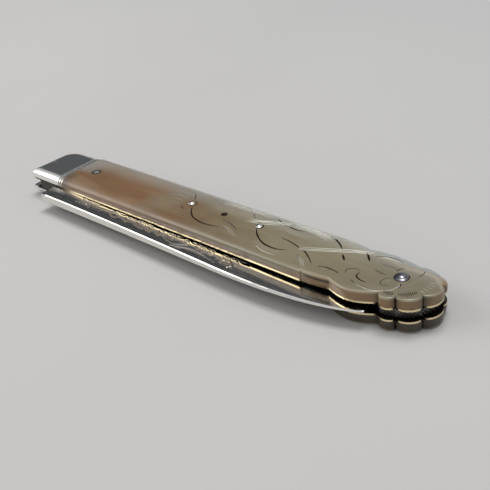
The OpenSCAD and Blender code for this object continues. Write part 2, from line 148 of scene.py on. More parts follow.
def noise(place, scale, detail=2.0, stretch=None, turn=0.0):
    """Noise at a place, which can first be scaled along each axis and turned in the plan."""
    if stretch:
        inputs = {"Vector": place, "Scale": stretch, "Rotation": (0.0, 0.0, turn)}
        place = add(place, "ShaderNodeMapping", inputs).outputs[0]
    inputs = {"Vector": place, "Scale": scale, "Detail": detail}
    return add(place, "ShaderNodeTexNoise", inputs).outputs["Fac"]


def dotted(way, direction):
    """How far a vector goes in a direction."""
    inputs = {0: way, 1: direction}
    return add(way, "ShaderNodeVectorMath", inputs, operation="DOT_PRODUCT").outputs["Value"]


def here(tree):
    """The place on the piece in metres, and its x, y and z in millimetres."""
    place = add(tree, "ShaderNodeTexCoord").outputs["Object"]
    scaled = add(tree, "ShaderNodeVectorMath", {0: place, "Scale": 1 / MM}, operation="SCALE").outputs[0]
    return (place, *add(tree, "ShaderNodeSeparateXYZ", {0: scaled}).outputs)


def stored(tree, name):
    """Reads a number that the mesh holds for each point."""
    return add(tree, "ShaderNodeAttribute", attribute_name=name).outputs["Fac"]


def new_tree(name, kind, inputs, outputs):
    """A node group. A socket is given by its type, or by the number that a Float starts with."""
    tree = bpy.data.node_groups.new(name, kind)
    for way, sockets in (("INPUT", inputs), ("OUTPUT", outputs)):
        for label, given in sockets.items():
            word = given if isinstance(given, str) else "Float"
            socket = tree.interface.new_socket(name=label, in_out=way, socket_type="NodeSocket" + word)
            if word != given:
                socket.default_value = given
    return tree, tree.nodes.new("NodeGroupInput").outputs, tree.nodes.new("NodeGroupOutput")


def new_material(name):
    """A material with its node tree and its Principled shader."""
    material = bpy.data.materials.new(name)
    material.use_nodes = True
    return material, material.node_tree, material.node_tree.nodes["Principled BSDF"]


def put(name, data):
    """An object with its data, linked to the scene."""
    obj = bpy.data.objects.new(name, data)
    bpy.context.scene.collection.objects.link(obj)
    return obj


print("helpers ready")

# %% [markdown]
# ## The handle's outline
# The outline follows a few rules: straight sides that widen a little, a waist with a sharp nick,
# a swelling, and a shell of five lobes that reach out to a slightly turned oval. Rules like these
# are better written as functions than drawn point by point, because the same functions then
# also say how high the rounded edge stands at any place.

# %% Sizes of the handle in millimetres
X_END = -5.1
X_JOINT = 4.9
X_SHELL = 76.2
SHELL_Y = 0.1
X_WAIST = X_SHELL - 13.2
X_NICK = X_SHELL - 8.4
WIDTH_BOLSTER = 11.4
WIDTH_WAIST = 12.3
WIDTH_NICK = 11.2
SHELL_REACH = 6.4
SHELL_HALF = (5.55, 5.5)
SHELL_TURN = 12
NOTCHES = (-98, -68, -26, 16, 50, 88)
LOBE_H = (0.75, 0.3)
LOBE_FULLNESS = 0.55
WAIST_STEP = 0.12
WAIST_BULGE = 0.12
SWELL_H = (1.2, 0.6)
Z_MID = 2.8
Z_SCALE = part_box("front_scale")[0].z / MM
Z_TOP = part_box("front_scale")[1].z / MM
SCALE_T = Z_TOP - Z_SCALE
# Width of the rounded edge and height of the upright side below it: at the bolster, at the
# shell's lobes, and along the shell's worn back
ROUND_W = (2.3, 0.4, 4.0)
SIDE_H = (0.15, 1.3, 0.2)
ROUND_POWER = 2
WORN_POWER = 1.5


def mix(a, b, t):
    return a + (b - a) * t


def along(x, x0, x1):
    return np.clip((x - x0) / (x1 - x0), 0, 1)


def half_width(x):
    return mix(WIDTH_BOLSTER, WIDTH_WAIST, (x - X_END) / (X_WAIST - X_END)) / 2


def lobe_dip(angle):
    """0 on the crown of a lobe and 1 in a notch, at an angle in degrees round the shell's middle."""
    lobe = np.interp(angle, NOTCHES, range(len(NOTCHES)))
    return 1 - np.abs(np.sin(np.pi * lobe)) ** LOBE_FULLNESS


def shell_radius(angle):
    """Distance of the shell's edge from its middle, at an angle in degrees."""
    turn = np.radians(angle - SHELL_TURN)
    half = np.where(turn < 0, SHELL_HALF[0], SHELL_HALF[1])
    oval = 1 / np.sqrt((np.cos(turn) / SHELL_REACH) ** 2 + (np.sin(turn) / half) ** 2)
    return oval - mix(*LOBE_H, along(angle, NOTCHES[2], NOTCHES[4])) * lobe_dip(angle)


def around(angle, reach):
    """The place at an angle and a distance from the shell's middle."""
    a = math.radians(angle)
    return X_SHELL + reach * math.cos(a), SHELL_Y + reach * math.sin(a)


def side_edge(side, steps=14):
    """Edge from the bolster to the shell's first notch, on the back (1) or mouth (-1) side."""
    notch_angle = NOTCHES[-1] if side > 0 else NOTCHES[0]
    notch = around(notch_angle, float(shell_radius(notch_angle)))
    swell = SWELL_H[1] if side > 0 else SWELL_H[0]
    line = [(x, half_width(x)) for x in np.linspace(X_JOINT, X_WAIST, 4 * steps)]
    for t in np.linspace(0, 1, steps):
        y = mix(WIDTH_WAIST / 2 - WAIST_STEP, WIDTH_NICK / 2, t) + 4 * WAIST_BULGE * t * (1 - t)
        line.append((mix(X_WAIST + WAIST_STEP, X_NICK, t), y))
    for t in np.linspace(0, 1, 2 * steps)[1:-1]:
        y = mix(WIDTH_NICK / 2, abs(notch[1]), t) + swell * math.sin(math.pi * t)
        line.append((mix(X_NICK, notch[0], t), y))
    return [(x, side * y) for x, y in line]


def shell_edge(lobe_steps=14):
    """Edge of the shell, from the notch at the back round to the one at the mouth."""
    lobes = len(NOTCHES) - 1
    share = (1 - np.cos(np.pi * np.linspace(0, 1, lobe_steps + 1)[:-1])) / 2
    places = [lobe + part for lobe in range(lobes) for part in share] + [lobes]
    angles = np.interp(places, range(lobes + 1), NOTCHES)
    return [around(a, float(shell_radius(a))) for a in reversed(angles)]


outline = side_edge(1) + shell_edge() + side_edge(-1)[::-1]
print("points on the scale's outline:", len(outline))

# %% [markdown]
# ## Table and light
# Polished silver has no colour of its own: it shows the room. The room here is pale all round,
# with one darker stretch high behind the knife, as the unlit part of a real room would be. The
# flat tops of bolster and blade mirror that stretch and turn dark, while the rounded edges pick
# up the pale rest. Mirrors see the room a little brighter than it lights the table, so that the
# knife's shadow stays deep. The table is one large pale sheet with a faint grain, painted darker
# and bluer towards its far side as a painted falloff of the light.

# %% Make the world
ROOM_PALE = "#dfe0e2"
ROOM_DARK = "#5f6265"
ROOM_STRENGTH = (0.6, 0.8)
DARK_WAY = Vector((-0.74, 0.52, 0.43)).normalized()
DARK_CORE = math.cos(math.radians(13))
DARK_EDGE = math.cos(math.radians(34))
TABLE_COLOUR = "#c1c0be"

world = bpy.data.worlds.new("room")
bpy.context.scene.world = world
world.use_nodes = True
room = world.node_tree
room.nodes.clear()
way = add(room, "ShaderNodeTexCoord").outputs["Generated"]
dark = ranged(dotted(way, DARK_WAY), DARK_EDGE, DARK_CORE)
seen = mixed(dark, ROOM_PALE, ROOM_DARK)
rays = add(room, "ShaderNodeLightPath").outputs
shown = mixed(rays["Is Camera Ray"], seen, TABLE_COLOUR)
strength = ranged(rays["Is Glossy Ray"], 0.0, 1.0, *ROOM_STRENGTH)
light = add(room, "ShaderNodeBackground", {"Color": shown, "Strength": strength})
add(room, "ShaderNodeOutputWorld", {"Surface": light.outputs[0]})
print("world nodes:", len(room.nodes))

# %% Lay the table and hang the lamps
TABLE_HALF = 1.5
TABLE_Z = -0.02 * MM
FAR_SHADE_WAY = (0.35, 0.94, 0.0)
FAR_SHADE_REACH = 0.3
KNIFE_MIDDLE = Vector((40, 0, 3)) * MM

table_mesh = bpy.data.meshes.new("table")
signs = ((-1, -1), (1, -1), (1, 1), (-1, 1))
table_mesh.from_pydata([(x * TABLE_HALF, y * TABLE_HALF, TABLE_Z) for x, y in signs], [], [(0, 1, 2, 3)])
table = put("table", table_mesh)

paper, tree, skin = new_material("table paint")
place = here(tree)[0]
tone = mixed(ranged(noise(place, 9.0), 0.3, 0.7), "#bdbcbb", TABLE_COLOUR)
# Painted falloff of the light: the table is painted darker and bluer towards its far side.
tone = mixed(ranged(dotted(place, FAR_SHADE_WAY), 0.0, FAR_SHADE_REACH), tone, "#aeb1b3")
plug(skin, {"Base Color": tone, "Roughness": 0.7, "Specular IOR Level": 0.2})
table_mesh.materials.append(paper)


def lamp(name, way, distance, size, power, colour):
    """A square soft box that looks at the middle of the knife."""
    data = bpy.data.lights.new(name, "AREA")
    data.shape = "SQUARE"
    data.size = size
    data.energy = power
    data.color = colour
    holder = put(name, data)
    holder.location = KNIFE_MIDDLE + Vector(way).normalized() * distance
    holder.rotation_mode = "QUATERNION"
    holder.rotation_quaternion = (KNIFE_MIDDLE - holder.location).to_track_quat("-Z", "Y")


lamp("window above", (0.0, 0.22, 0.95), 0.9, 0.38, 4.6, (1.0, 0.99, 0.97))
lamp("soft box left", (-0.75, -0.55, 0.6), 0.8, 0.5, 2.0, (1.0, 0.98, 0.96))

# %% [markdown]
# ## Plates from an outline
# Scales, bolsters and blade are all plates: a plan with a height at each place. The plan is cut
# into triangles that keep given lines as edges, so that every ring of a rounding and both sides
# of every engraved cut are real edges of the mesh. Blender's constrained Delaunay function does
# this. A grid with a displacement would be simpler, but it would step across each fine line.

# %% A plate between two height functions
def inside(points, loops):
    """Says which points lie inside the first loop and outside the others."""
    result = np.zeros(len(points), bool)
    x, y = points[:, 0], points[:, 1]
    for loop in loops:
        ring = np.array(loop)
        for (x0, y0), (x1, y1) in zip(ring, np.roll(ring, -1, 0)):
            if y0 != y1:
                crosses = ((y0 > y) != (y1 > y)) & (x < (x1 - x0) * (y - y0) / (y1 - y0) + x0)
                result ^= crosses
    return result


def plate(name, loops, lines, top, bottom):
    """Closed mesh whose plan is given by loops, with lines kept as edges, in millimetres."""
    points, edges = [], []
    for line, closed in [(loop, True) for loop in loops] + [(line, False) for line in lines]:
        first = len(points)
        points.extend(Vector(p) for p in line)
        edges.extend((first + k, first + k + 1) for k in range(len(line) - 1))
        if closed:
            edges.append((first + len(line) - 1, first))
    plan, _, faces = delaunay_2d_cdt(points, edges, [], 0, 1e-4)[:3]
    plan = np.array([tuple(p) for p in plan])
    faces = np.array([face for face in faces if len(face) == 3])
    faces = faces[inside(plan[faces].mean(1), loops)]
    used, faces = np.unique(faces, return_inverse=True)
    plan = plan[used]
    faces = faces.reshape(-1, 3)
    a, b = plan[faces[:, 1]] - plan[faces[:, 0]], plan[faces[:, 2]] - plan[faces[:, 0]]
    turned = a[:, 0] * b[:, 1] - a[:, 1] * b[:, 0] < 0
    faces[turned] = faces[turned][:, ::-1]
    count = len(plan)
    sides = np.concatenate([faces[:, [0, 1]], faces[:, [1, 2]], faces[:, [2, 0]]])
    known = {tuple(side) for side in sides.tolist()}
    rim = [(i, j) for i, j in known if (j, i) not in known]
    walls = [(j, i, i + count, j + count) for i, j in rim]
    high = np.column_stack([plan, top(plan[:, 0], plan[:, 1])])
    low = np.column_stack([plan, bottom(plan[:, 0], plan[:, 1])])
    mesh = bpy.data.meshes.new(name)
    under = [tuple(face) for face in (faces[:, ::-1] + count).tolist()]
    mesh.from_pydata((np.concatenate([high, low]) * MM).tolist(), [], faces.tolist() + under + walls)
    return put(name, mesh)


def handle_plate(name, loops, lines, height, front):
    """A plate of the front or the rear side: flat on its liner, with a height over that face."""
    if front:
        return plate(name, loops, lines, lambda x, y: Z_SCALE + height(x, y), lambda x, y: 0 * x + Z_SCALE)
    flat = 2 * Z_MID - Z_SCALE
    return plate(name, loops, lines, lambda x, y: 0 * x + flat, lambda x, y: flat - height(x, y))


def circle(x, y, radius, steps=40):
    angles = [2 * math.pi * k / steps for k in range(steps)]
    return [(x + radius * math.cos(a), y + radius * math.sin(a)) for a in angles]


def finish_mesh(obj, sharp_angle):
    """Smooth shading with sharp edges where two faces meet at more than an angle."""
    obj.data.shade_smooth()
    obj.data.set_sharp_from_angle(angle=math.radians(sharp_angle))


print("plate helper ready")

# %% [markdown]
# ## Engraved lines
# An engraver pushes a burin through the surface. The cut starts thin, widens where the tool is
# leaned over, and runs out thin again. Each stroke is a smooth curve through a few points, with
# a half width that swells along it. Its middle and both its sides become lines of the plate.

# %% Strokes and their ribbons
STROKE_STEP = 0.3
STROKE_FULL = 0.6
STROKE_SWELL = 0.5


def smooth_line(points):
    """A Catmull-Rom curve through the points, in short even steps."""
    p = np.array(points, float)
    if len(p) == 2:
        p = np.array([p[0], p.mean(0), p[1]])
    ends = np.vstack([2 * p[0] - p[1], p, 2 * p[-1] - p[-2]])
    line = [p[0]]
    for a, b, c, d in zip(ends, ends[1:], ends[2:], ends[3:]):
        count = max(2, int(np.linalg.norm(c - b) / STROKE_STEP) + 1)
        for t in np.linspace(0, 1, count + 1)[1:]:
            line.append(0.5 * (2 * b + (c - a) * t + (2 * a - 5 * b + 4 * c - d) * t * t
                               + (3 * b - a - 3 * c + d) * t ** 3))
    return np.array(line)


def stroke(width, ink, *points):
    """An engraved stroke through a few places: its middle line, half widths and darkness."""
    line = smooth_line(points)
    t = np.linspace(0, 1, len(line))
    half = width * STROKE_FULL * np.clip(np.sin(np.pi * t), 0, 1) ** STROKE_SWELL
    return {"line": line, "half": half, "ink": ink}


def ribbon(cut):
    """Left side, middle and right side of a stroke."""
    line = cut["line"]
    way = np.gradient(line, axis=0)
    way /= np.linalg.norm(way, axis=1)[:, None] + 1e-9
    across = np.column_stack([-way[:, 1], way[:, 0]]) * cut["half"][:, None]
    return [line + across, line, line - across]


def store(mesh, name, values):
    """Stores one number for each point of a mesh."""
    mesh.attributes.new(name, "FLOAT", "POINT").data.foreach_set("value", values)


def guide(name, cuts):
    """The strokes' middle lines as a mesh of edges that holds each half width and ink."""
    points, edges, half, ink = [], [], [], []
    for cut in cuts:
        first = len(points)
        points.extend((x * MM, y * MM, 0) for x, y in cut["line"])
        edges.extend((first + k, first + k + 1) for k in range(len(cut["line"]) - 1))
        half.extend(cut["half"] * MM)
        ink.extend([cut["ink"]] * len(cut["line"]))
    mesh = bpy.data.meshes.new(name)
    mesh.from_pydata(points, edges, [])
    store(mesh, "half", half)
    store(mesh, "ink", ink)
    return put(name, mesh)


def mark(obj, name, values):
    """Stores a number that is worked out from each point's x and y in millimetres."""
    flat = np.empty(3 * len(obj.data.vertices))
    obj.data.vertices.foreach_get("co", flat)
    x, y, _ = flat.reshape(-1, 3).T / MM
    store(obj.data, name, values(x, y))


print("stroke step:", STROKE_STEP, "mm")

# %% [markdown]
# ## The burin as Geometry Nodes
# One tree cuts any set of strokes into any plate. It measures how far each point of the plate
# lies from the nearest stroke in the plan, and sinks the point by a fixed slope inside the
# stroke's half width, which gives the V shape of a burin's cut. It also stores how deep in a
# cut each point is, and how much dark old polish that cut holds, for the material to read.

# %% Build the burin tree
def build_burin():
    tree, given, result = new_tree(
        "burin", "GeometryNodeTree",
        {"Plate": "Geometry", "Strokes": "Object", "Slope": 0.7, "Side": 1.0, "Finish": "Material"},
        {"Plate": "Geometry"})
    strokes = add(tree, "GeometryNodeObjectInfo", {"Object": given["Strokes"]}).outputs["Geometry"]
    position = add(tree, "GeometryNodeInputPosition").outputs[0]
    x, y, _ = add(tree, "ShaderNodeSeparateXYZ", {0: position}).outputs
    flat = add(tree, "ShaderNodeCombineXYZ", {0: x, 1: y}).outputs[0]
    near = add(tree, "GeometryNodeProximity", {0: strokes}, target_element="EDGES")
    source = next(s for s in near.inputs if s.type == "VECTOR")
    tree.links.new(flat, source)
    nearest = {"Geometry": strokes, "Sample Position": flat}
    index = add(tree, "GeometryNodeSampleNearest", nearest).outputs[0]

    def sampled(name):
        value = add(tree, "GeometryNodeInputNamedAttribute", {"Name": name}).outputs["Attribute"]
        wanted = {"Geometry": strokes, "Value": value, "Index": index}
        return add(tree, "GeometryNodeSampleIndex", wanted).outputs[0]

    half = sampled("half")
    left = math_node("SUBTRACT", half, near.outputs["Distance"])
    depth = math_node("MAXIMUM", left, 0.0)
    share = math_node("DIVIDE", depth, math_node("MAXIMUM", half, 1e-6), clamp=True)
    normal = add(tree, "GeometryNodeInputNormal").outputs[0]
    upward = add(tree, "ShaderNodeSeparateXYZ", {0: normal}).outputs[2]
    chosen = math_node("GREATER_THAN", product(upward, given["Side"]), 0.3)
    drop = product(depth, given["Slope"], given["Side"], -1.0)
    down = add(tree, "ShaderNodeCombineXYZ", {2: drop}).outputs[0]
    body = given["Plate"]
    for name, value in (("cut", share), ("ink", sampled("ink"))):
        kept = {"Geometry": body, "Selection": chosen, "Name": name, "Value": value}
        body = add(tree, "GeometryNodeStoreNamedAttribute", kept).outputs[0]
    moved = add(tree, "GeometryNodeSetPosition", {"Geometry": body, "Selection": chosen, "Offset": down})
    real = add(tree, "GeometryNodeRealizeInstances", {0: moved.outputs[0]})
    done = add(tree, "GeometryNodeSetMaterial", {"Geometry": real.outputs[0], "Material": given["Finish"]})
    plug(result, {0: done.outputs[0]})
    return tree


BURIN = build_burin()


def engrave(obj, cuts, sides, finish, slope):
    """Cuts the strokes of a guide into the upper (1) or lower (-1) side of a plate."""
    sockets = {s.name: s.identifier for s in BURIN.interface.items_tree if s.in_out == "INPUT"}
    for side in sides:
        modifier = obj.modifiers.new("burin", "NODES")
        modifier.node_group = BURIN
        modifier[sockets["Strokes"]] = cuts
        modifier[sockets["Slope"]] = slope
        modifier[sockets["Side"]] = float(side)
        modifier[sockets["Finish"]] = finish
    bpy.context.view_layer.update()
    evaluated = obj.evaluated_get(bpy.context.evaluated_depsgraph_get())
    mesh = bpy.data.meshes.new_from_object(evaluated)
    obj.modifiers.clear()
    obj.data = mesh
    return len(mesh.polygons)


print("burin nodes:", len(BURIN.nodes))

# %% [markdown]
# ## Shared finish: wear on metal
# Silver, brass and steel that were carried in a pocket all show the same two things: fine
# scratches that run mostly one way, and soft patches where fingers dulled the polish. One shader
# group makes both from noise and gives out a roughness, a tone and a height.

# %% Build the wear group
def build_wear():
    tree, given, result = new_tree(
        "pocket wear", "ShaderNodeTree", {"Gloss": 0.15, "Patches": 0.1, "Scratches": 0.3},
        {"Roughness": "Float", "Tone": "Float", "Height": "Float"})
    place = here(tree)[0]
    hair = noise(place, 1.0, 4.0, stretch=(260.0, 6000.0, 6000.0))
    scratched = product(ranged(hair, 0.52, 0.68), given["Scratches"])
    patch = product(ranged(noise(place, 260.0, 3.0), 0.4, 0.7), given["Patches"])
    rough = math_node("ADD", given["Gloss"], patch)
    total = math_node("ADD", rough, product(scratched, 0.3), clamp=True)
    tone = math_node("SUBTRACT", 1.0, product(scratched, 0.25))
    plug(result, {"Roughness": total, "Tone": tone, "Height": scratched})
    return tree


def build_reach():
    """How far out a place lies in the shell: 1 on the oval through the tips of the lobes."""
    tree, _, result = new_tree("shell reach", "ShaderNodeTree", {}, {"Reach": "Float"})
    turned = add(tree, "ShaderNodeMapping", {
        "Vector": here(tree)[0], "Location": (X_SHELL * MM, SHELL_Y * MM, 0.0),
        "Rotation": (0.0, 0.0, math.radians(SHELL_TURN)),
        "Scale": (SHELL_REACH * MM, SHELL_HALF[0] * MM, 1000.0)}, vector_type="TEXTURE").outputs[0]
    length = add(tree, "ShaderNodeVectorMath", {0: turned}, operation="LENGTH").outputs["Value"]
    plug(result, {"Reach": length})
    return tree


WEAR = build_wear()
REACH = build_reach()


def liner_darkening_and_shade(tree, x):
    """Where a liner is darker: beside the bolster and in the notches of the shell, with painted shade
    along the waist.
    """
    reach = add(tree, "ShaderNodeGroup", node_tree=REACH).outputs["Reach"]
    darkened_share = ranged(x, 4.0, 12.0, 0.95, 0.0)
    in_shell = ranged(x, X_SHELL - 3, X_SHELL - 2)
    # Painted shade on the liner along the waist.
    waist = product(ranged(x, X_WAIST - 0.5, X_WAIST), ranged(x, X_NICK, X_NICK - 0.5), 0.85)
    for other in (product(ranged(reach, 0.97, 0.9), in_shell), waist):
        darkened_share = math_node("MAXIMUM", darkened_share, other)
    return darkened_share


def metal(name, colour, dirt_and_shade, gloss, patches, scratches, cut=False, flat_darkening=0.0, liner=False):
    """A worn metal: its colour and a dark tone for dirt and painted shade, and how glossy, patchy and
    scratched it is. It can darken its faces that lie flat by a share, and cut says that its mesh
    holds engraving and a mask of darker places."""
    material, tree, skin = new_material(name)
    wear = add(tree, "ShaderNodeGroup", node_tree=WEAR)
    plug(wear, {"Gloss": gloss, "Patches": patches, "Scratches": scratches})
    tone = mixed(wear.outputs["Tone"], dirt_and_shade, colour)
    rough = wear.outputs["Roughness"]
    if flat_darkening:
        # Faces that lie flat, up or down, are darkened towards the dark tone by a share.
        normal = add(tree, "ShaderNodeNewGeometry").outputs["Normal"]
        upright = math_node("ABSOLUTE", dotted(normal, (0.0, 0.0, 1.0)))
        tone = mixed(ranged(upright, 0.8, 0.97, 0.0, flat_darkening), tone, dirt_and_shade)
    if liner:
        x = here(tree)[1]
        # A painted highlight: the liner is painted near white at its end beside the bolster's free end.
        end_highlight = ranged(x, -3.4, -4.2)
        tone = painted(tone, (liner_darkening_and_shade(tree, x), dirt_and_shade), (end_highlight, "#e8e6e2"))
    if cut:
        filled = product(ranged(stored(tree, "cut"), 0.15, 0.8), stored(tree, "ink"))
        for mask, dulled in ((stored(tree, "darkened"), 0.25), (filled, 0.3)):
            tone = mixed(mask, tone, dirt_and_shade)
            rough = math_node("ADD", rough, product(mask, dulled), clamp=True)
    height = wear.outputs["Height"]
    bump = add(tree, "ShaderNodeBump", {"Height": height, "Strength": 0.05, "Distance": 0.02 * MM})
    plug(skin, {"Base Color": tone, "Roughness": rough, "Metallic": 1.0, "Normal": bump.outputs[0]})
    return material


SILVER = metal("polished silver", "#f2f0ec", "#3a362f", 0.1, 0.1, 0.5, cut=True)
BLADE_SILVER = metal("engraved silver", "#efede8", "#2b2823", 0.1, 0.08, 0.6, cut=True, flat_darkening=0.35)
BRASS = metal("liner brass", "#f0deb4", "#1c150d", 0.2, 0.15, 0.5, flat_darkening=0.9, liner=True)
STEEL = metal("spring steel", "#6a6764", "#161412", 0.25, 0.2, 0.9)
DARK_STEEL = metal("dark pin steel", "#3a3632", "#12100f", 0.35, 0.2, 0.6)
RIVET_SILVER = metal("rivet silver", "#727278", "#34322f", 0.2, 0.1, 0.5)
PIN_SILVER = metal("pin silver", "#d9d8d6", "#56524c", 0.14, 0.15, 0.5)
RING_SILVER = metal("dull ring pin", "#a9a69f", "#4a4743", 0.5, 0.15, 0.5)
COLLAR_GREY = metal("grey collar", "#5d5b58", "#2f2d2a", 0.45, 0.2, 0.5)
print("materials made:", len(bpy.data.materials))

# %% [markdown]
# ## Mother of pearl
# Pearl is built from thin layers. Seen on its face it is brown to grey green with soft clouds
# and fine bands, and its cut sides show the layers as pinkish brown stripes. The colour runs
# from warm brown at the bolster to pale grey green at the shell, so it is steered by the
# place along the handle, with noise for clouds and bands. A clear coat gives the polish.

# %% Make the pearl
RIM_HIGHLIGHT_SHARE = 0.35
PEARL_STOPS = ((0.0, "#74573a"), (0.3, "#7a5a3c"), (0.4, "#735f46"), (0.55, "#7b7058"),
               (0.75, "#807860"), (1.0, "#736b56"))


def pearl_face(tree, place, x, y, clouds):
    """Colour of the polished face, with its paler back edge, a painted shadow in its corner beside the
    bolster, and its worn corner at the shell.
    """
    shift = ranged(clouds, 0.3, 0.7, -0.09, 0.09)
    run = math_node("ADD", ranged(x, X_JOINT, X_SHELL, kind="LINEAR"), shift)
    ramp = add(tree, "ShaderNodeValToRGB", {"Fac": run})
    stops = ramp.color_ramp.elements
    while len(stops) < len(PEARL_STOPS):
        stops.new(0.5)
    for stop, (position, colour) in zip(stops, PEARL_STOPS):
        stop.position = position
        stop.color = srgb(colour)
    bands = noise(place, 1.0, 4.0, stretch=(70.0, 420.0, 300.0), turn=-0.25)
    beside_bolster = product(ranged(x, 10.5, 6.0, 0.0, 0.8), ranged(y, -2.0, 0.5))
    # Painted shadow in the pearl's corner beside the bolster, on the mouth side.
    shaded_corner = product(ranged(x, 8.0, 5.5, 0.0, 0.7), ranged(y, -2.0, -3.8))
    worn_back = product(ranged(x, 62.0, 70.0, 0.0, 0.75), ranged(y, 2.8, 4.2))
    return painted(ramp.outputs[0], (ranged(y, -0.5, 4.5, 0.0, 0.6), "#9b9b93"),
                   (beside_bolster, "#8b8883"), (shaded_corner, "#34261a"), (worn_back, "#87918e"),
                   (ranged(bands, 0.4, 0.7, 0.0, 0.14), "#b3a88f"))


def pearl_edge(tree, place, x, y, z):
    """Masks and colours of the cut sides, where layers show, with painted shadow along the waist and on
    the rear scale, and of the pale rim above them, a painted highlight.
    """
    height = math_node("ABSOLUTE", math_node("SUBTRACT", z, Z_MID))
    below = math_node("SUBTRACT", Z_TOP - Z_MID, height)
    to_shell = ranged(x, 58.0, 66.0)
    # The rear scale, below the middle: its sides are painted almost black, a painted shadow.
    under = ranged(z, Z_MID + 0.3, Z_MID - 0.3)
    keen = product(math_node("MAXIMUM", to_shell, under), 0.8)
    side = ranged(math_node("ADD", below, keen), 0.9, 1.3)
    mouth_side = ranged(y, 4.2, 2.5)
    side = product(side, math_node("MAXIMUM", mouth_side, under), 0.9)
    layers = noise(place, 1.0, 3.0, stretch=(900.0, 900.0, 5000.0))
    tone = mixed(ranged(layers, 0.35, 0.68), "#9a7c68", "#674b3a")
    blotch = product(ranged(noise(place, 900.0), 0.5, 0.72), ranged(below, 0.9, 1.7))
    shell_tone = mixed(blotch, "#87693f", "#3b2917")
    # A painted shadow line along the waist, between the top face and the side.
    waist_shadow_line = product(ranged(below, 0.4, 0.6), ranged(below, 1.0, 0.8),
                   ranged(x, X_WAIST, X_WAIST + 1), ranged(x, X_NICK + 1, X_NICK))
    tone = painted(tone, (product(to_shell, 0.9), shell_tone), (waist_shadow_line, "#1d120a"),
                   (product(under, 0.92), "#1a130d"))
    # A painted highlight: the rim above the shell's sides on the mouth side is painted pale.
    rim = product(ranged(below, 0.4, 0.2), ranged(below, 0.0, 0.1), to_shell, mouth_side, RIM_HIGHLIGHT_SHARE)
    return (side, tone), (rim, "#b7a98d")


def build_pearl():
    material, tree, skin = new_material("engraved pearl")
    place, x, y, z = here(tree)
    clouds = noise(place, 110.0, 3.0)
    ink = stored(tree, "ink")
    in_cut = ranged(stored(tree, "cut"), 0.0, 0.35)
    # Cuts with little ink are painted pale, a painted glint of their facets; cuts with ink are dark.
    cut_glint_and_ink = mixed(ink, "#d6d6cc", "#23150c")
    tone = painted(pearl_face(tree, place, x, y, clouds), *pearl_edge(tree, place, x, y, z),
                   (stored(tree, "darkened"), "#24180f"), (in_cut, cut_glint_and_ink))
    inked = product(in_cut, ink)
    plug(skin, {
        "Base Color": tone, "Roughness": ranged(clouds, 0.35, 0.65, 0.26, 0.4), "IOR": 1.53,
        "Specular IOR Level": ranged(inked, 0.0, 1.0, 0.5, 0.0),
        "Coat Weight": ranged(inked, 0.0, 1.0, 0.3, 0.0), "Coat Roughness": 0.12,
        "Subsurface Weight": 0.12, "Subsurface Radius": (1.2 * MM, 0.8 * MM, 0.5 * MM),
        "Subsurface Scale": 1.0})
    return material


PEARL = build_pearl()
print("pearl nodes:", len(PEARL.node_tree.nodes))

# %% [markdown]
# ## What is engraved on the pearl
# The photograph shows crossing curves with leaves between them, small scrolls round the big
# rivet, and short flutes that fan out to the shell's lobes. Each curve is written with the
# few places it passes through, in millimetres along and across the handle. The flutes are
# counted out in a loop, since they follow a rule.

# %% Strokes of the pearl scales
# How dark a cut is; on the pearl a pale cut is painted with a pale glint.
DARK, PALE = 1.0, 0.0
RIVET_RING = 1.1
PINS_X = (34.5, 49.5)
PINS_Y = 0.5
